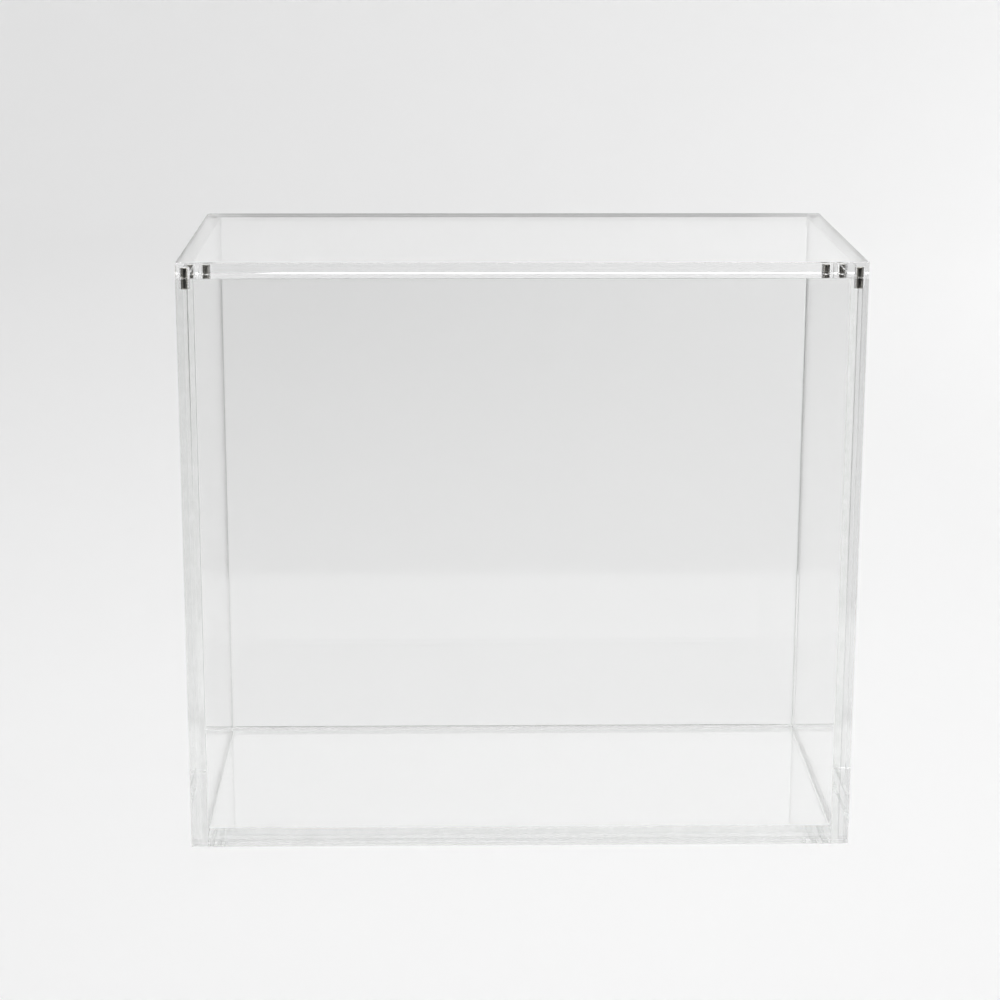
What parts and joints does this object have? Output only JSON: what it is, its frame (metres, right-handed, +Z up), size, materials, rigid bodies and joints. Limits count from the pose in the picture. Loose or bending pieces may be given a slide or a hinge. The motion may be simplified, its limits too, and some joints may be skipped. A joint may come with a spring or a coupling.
{
  "type": "acrylic display case",
  "caption": "Clear box-shaped display case of cemented acrylic sheet with a flat lift-off lid held by small round magnets set into its corners.",
  "frame": {"origin": "middle of the underside, on the plane the case stands on", "axes": "+X to the right and along the width, +Y to the rear, +Z up"},
  "size_m": [0.2, 0.103, 0.179],
  "materials": {
    "clear_acrylic": "clear cast acrylic sheet, polished faces and flame-polished edges",
    "acrylic_cement": "clear solvent cement, slightly clouded where it stopped in the joint",
    "nickel_plate": "bright nickel plating on a small disc magnet",
    "magnet_glue": "clear two-part glue in the magnet pockets"
  },
  "bodies": {
    "case": {"base_panel": "clear_acrylic", "front_panel": "clear_acrylic", "rear_panel": "clear_acrylic", "left_panel": "clear_acrylic", "right_panel": "clear_acrylic", "base_cement_front": "acrylic_cement", "base_cement_rear": "acrylic_cement", "base_cement_left": "acrylic_cement", "base_cement_right": "acrylic_cement", "corner_cement_front_left": "acrylic_cement", "corner_cement_front_right": "acrylic_cement", "corner_cement_rear_left": "acrylic_cement", "corner_cement_rear_right": "acrylic_cement", "wall_magnet_front_left": "nickel_plate", "wall_magnet_front_right": "nickel_plate", "wall_magnet_rear_left": "nickel_plate", "wall_magnet_rear_right": "nickel_plate", "wall_magnet_glue_front_left": "magnet_glue", "wall_magnet_glue_front_right": "magnet_glue", "wall_magnet_glue_rear_left": "magnet_glue", "wall_magnet_glue_rear_right": "magnet_glue"},
    "lid": {"lid_panel": "clear_acrylic", "lid_magnet_front_left": "nickel_plate", "lid_magnet_front_right": "nickel_plate", "lid_magnet_rear_left": "nickel_plate", "lid_magnet_rear_right": "nickel_plate", "lid_magnet_glue_front_left": "magnet_glue", "lid_magnet_glue_front_right": "magnet_glue", "lid_magnet_glue_rear_left": "magnet_glue", "lid_magnet_glue_rear_right": "magnet_glue"}
  },
  "joints": [
    {"name": "lid_lift", "type": "slide", "parent": "case", "child": "lid", "axis": [0, 0, 1], "range_m": [0, 0.18]}
  ]
}
